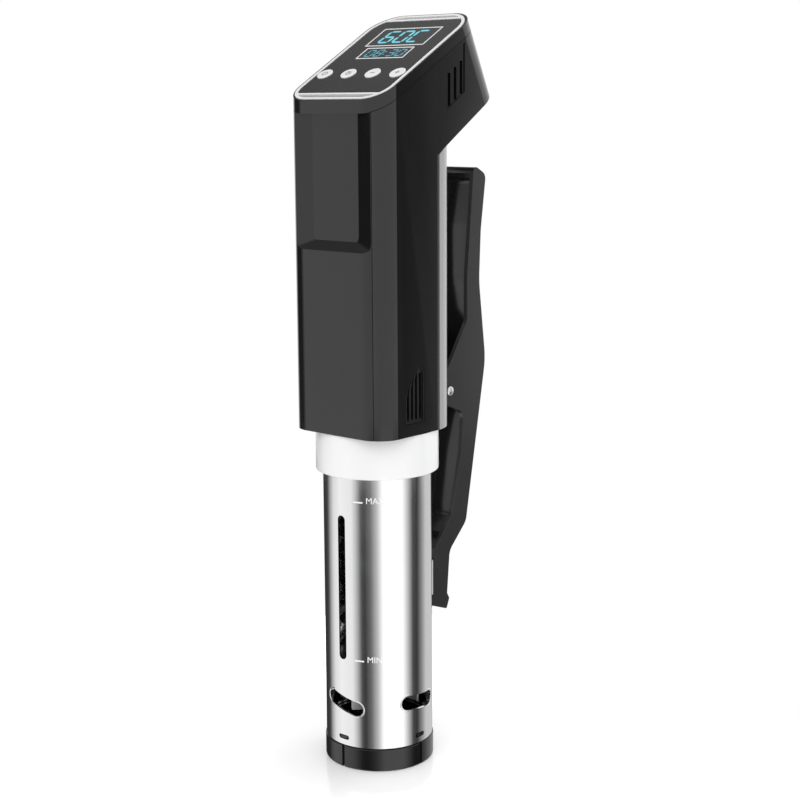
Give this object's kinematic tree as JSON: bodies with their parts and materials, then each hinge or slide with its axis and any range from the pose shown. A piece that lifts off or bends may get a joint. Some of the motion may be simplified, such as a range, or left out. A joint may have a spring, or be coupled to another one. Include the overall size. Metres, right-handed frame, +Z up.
{
  "type": "sous vide circulator",
  "caption": "Upright immersion water heater and pump with a steel skirt tube, a slanted control head with push buttons, and a sprung rear clip for a pot's wall.",
  "frame": {"origin": "middle of the base cap's flat underside, on the skirt tube's axis", "axes": "+Z up the tube, -Y towards the front with the scoop and buttons, +Y towards the clip"},
  "size_m": [0.066, 0.1102, 0.3966],
  "materials": {
    "black_matte": "fine matt moulding",
    "black_gloss": "polished black moulding",
    "lever_black": "satin black moulding",
    "grey_gloss": "satin silver-grey moulding",
    "white_gloss": "polished white moulding",
    "panel_grey": "printed control panel film",
    "display_glass": "dark display window",
    "brushed_steel": "polished stainless steel",
    "shaft_steel": "ground stainless steel",
    "screw_steel": "zinc plated steel",
    "heater_steel": "bead-blasted heater sheath",
    "heat_sink_aluminium": "extruded aluminium",
    "brass": "turned bearing bronze",
    "copper_winding": "lacquered winding and core",
    "rubber": "moulded rubber",
    "pump_grey": "light grey moulding",
    "circuit_board": "fibreglass circuit board"
  },
  "bodies": {
    "housing": {"base_cap": "black_matte", "lower_bushing": "brass", "skirt_tube": "brushed_steel", "collar": "white_gloss", "seal_plug": "black_matte", "seal_ring": "rubber", "upper_bushing": "brass", "collar_screw_1": "screw_steel", "collar_screw_2": "screw_steel", "collar_screw_3": "screw_steel", "collar_screw_4": "screw_steel", "body_shell": "black_gloss", "front_cover": "black_gloss", "rear_cover": "grey_gloss", "side_grille_right": "black_matte", "side_grille_left": "black_matte", "top_lid": "black_gloss", "trim_ring": "white_gloss", "panel_overlay": "panel_grey", "display_window_large": "display_glass", "display_window_small": "display_glass", "display_module_large": "panel_grey", "display_module_small": "panel_grey", "display_board": "circuit_board", "board_screw_1": "screw_steel", "board_screw_2": "screw_steel", "board_screw_3": "screw_steel", "board_screw_4": "screw_steel", "cord_gland": "rubber", "motor": "screw_steel", "motor_mount": "rubber", "plug_screw_1": "screw_steel", "plug_screw_2": "screw_steel", "plug_screw_3": "screw_steel", "heater_coil": "heater_steel", "temperature_probe": "shaft_steel", "level_probe_low": "shaft_steel", "level_probe_high": "shaft_steel", "main_board": "circuit_board", "heat_sink": "heat_sink_aluminium", "transformer": "copper_winding", "relay": "black_matte", "capacitor": "black_matte", "clip_bracket": "black_matte", "hinge_pin": "shaft_steel", "torsion_spring": "shaft_steel", "bracket_screw_1": "screw_steel", "bracket_screw_2": "screw_steel"},
    "rotor": {"drive_shaft": "shaft_steel", "motor_shaft": "shaft_steel", "shaft_coupling": "brass", "impeller": "pump_grey", "cooling_fan": "black_matte"},
    "clip": {"clip_lever": "lever_black", "clip_pad": "pump_grey"},
    "push_button_1": {"button_1": "white_gloss"},
    "push_button_2": {"button_2": "white_gloss"},
    "push_button_3": {"button_3": "white_gloss"},
    "push_button_4": {"button_4": "white_gloss"}
  },
  "joints": [
    {"name": "pump_spin", "type": "hinge", "parent": "housing", "child": "rotor", "pos_m": [0, 0, 0.1], "axis": [0, 0, 1], "continuous": true},
    {"name": "clip_open", "type": "hinge", "parent": "housing", "child": "clip", "pos_m": [0, 0.0458, 0.1966], "axis": [1, 0, 0], "range_deg": [0, 12], "stiffness_Nm_per_rad": 0.6, "springref_deg": -20.05},
    {"name": "button_1_press", "type": "slide", "parent": "housing", "child": "push_button_1", "axis": [0, 0.4886, -0.8725], "range_m": [0, 0.0005], "stiffness_N_per_m": 600, "springref_m": -0.0005},
    {"name": "button_2_press", "type": "slide", "parent": "housing", "child": "push_button_2", "axis": [0, 0.4886, -0.8725], "range_m": [0, 0.0005], "stiffness_N_per_m": 600, "springref_m": -0.0005},
    {"name": "button_3_press", "type": "slide", "parent": "housing", "child": "push_button_3", "axis": [0, 0.4886, -0.8725], "range_m": [0, 0.0005], "stiffness_N_per_m": 600, "springref_m": -0.0005},
    {"name": "button_4_press", "type": "slide", "parent": "housing", "child": "push_button_4", "axis": [0, 0.4886, -0.8725], "range_m": [0, 0.0005], "stiffness_N_per_m": 600, "springref_m": -0.0005}
  ]
}
